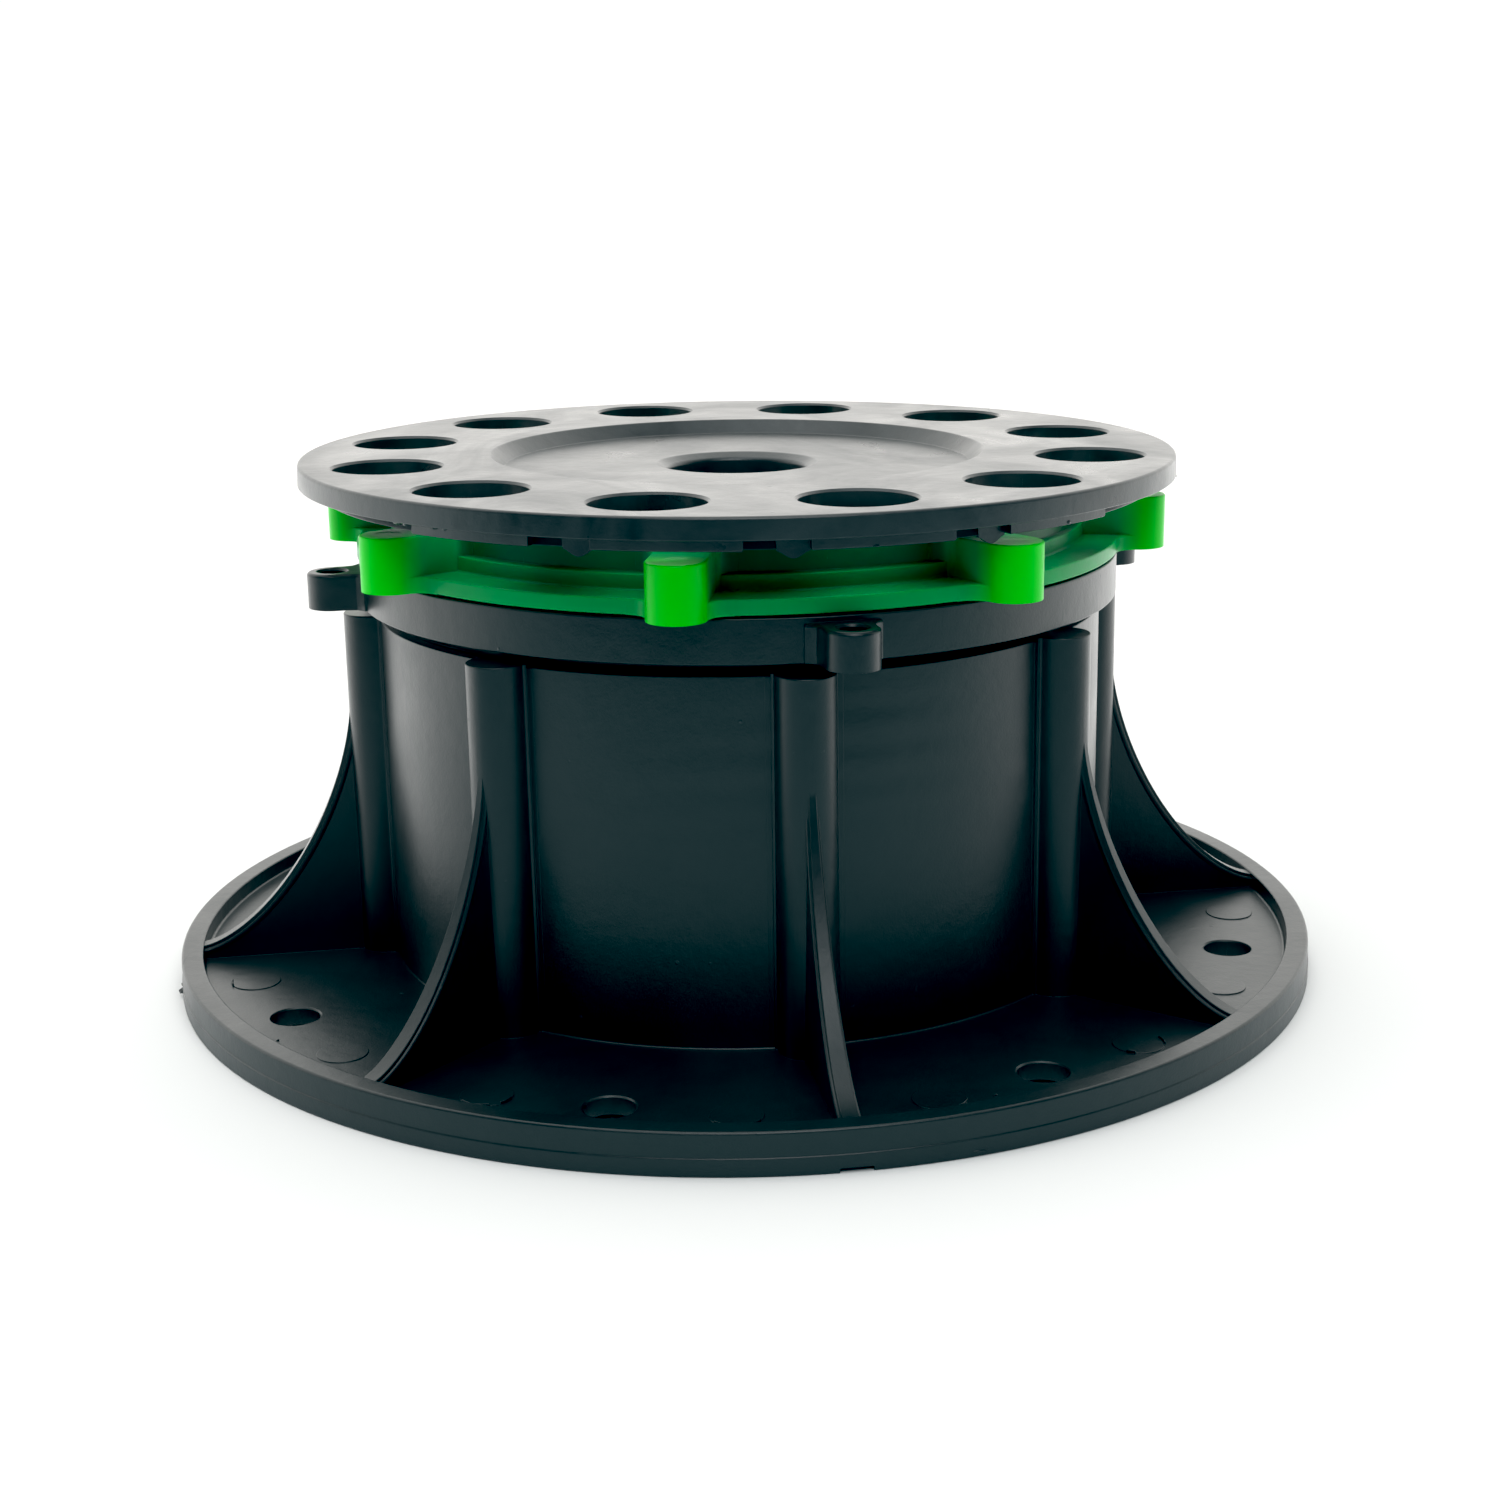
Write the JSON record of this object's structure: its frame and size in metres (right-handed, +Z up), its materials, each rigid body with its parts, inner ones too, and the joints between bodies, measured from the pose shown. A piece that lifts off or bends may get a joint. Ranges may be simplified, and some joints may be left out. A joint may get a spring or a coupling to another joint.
{
  "type": "adjustable decking pedestal",
  "caption": "Adjustable paving and decking support: flanged ribbed base, threaded sleeve, lugged adjusting ring and round pierced head that screws up and down.",
  "frame": {"origin": "centre of the base's underside, on the floor", "axes": "+Z up along the screw axis; the pedestal stands screwed fully down"},
  "size_m": [0.2, 0.2, 0.0905],
  "materials": {
    "black_plastic": "satin moulded black polypropylene",
    "green_plastic": "satin moulded green polypropylene"
  },
  "bodies": {
    "base": {"base": "black_plastic"},
    "sleeve": {"sleeve": "black_plastic"},
    "adjusting_ring": {"adjusting_ring": "green_plastic"},
    "head": {"head": "black_plastic"}
  },
  "joints": [
    {"name": "sleeve_lift", "type": "slide", "parent": "base", "child": "sleeve", "axis": [0, 0, 1], "range_m": [0, 0.025]},
    {"name": "head_lift", "type": "slide", "parent": "sleeve", "child": "head", "axis": [0, 0, 1], "range_m": [0, 0.035]},
    {"name": "ring_turn", "type": "hinge", "parent": "sleeve", "child": "adjusting_ring", "pos_m": [0, 0, 0.0741], "axis": [0, 0, -1], "range_deg": [0, 2100.1]}
  ],
  "couplings": [
    {"joint": "ring_turn", "follows": "head_lift", "rad_per_m": 1047.2}
  ]
}
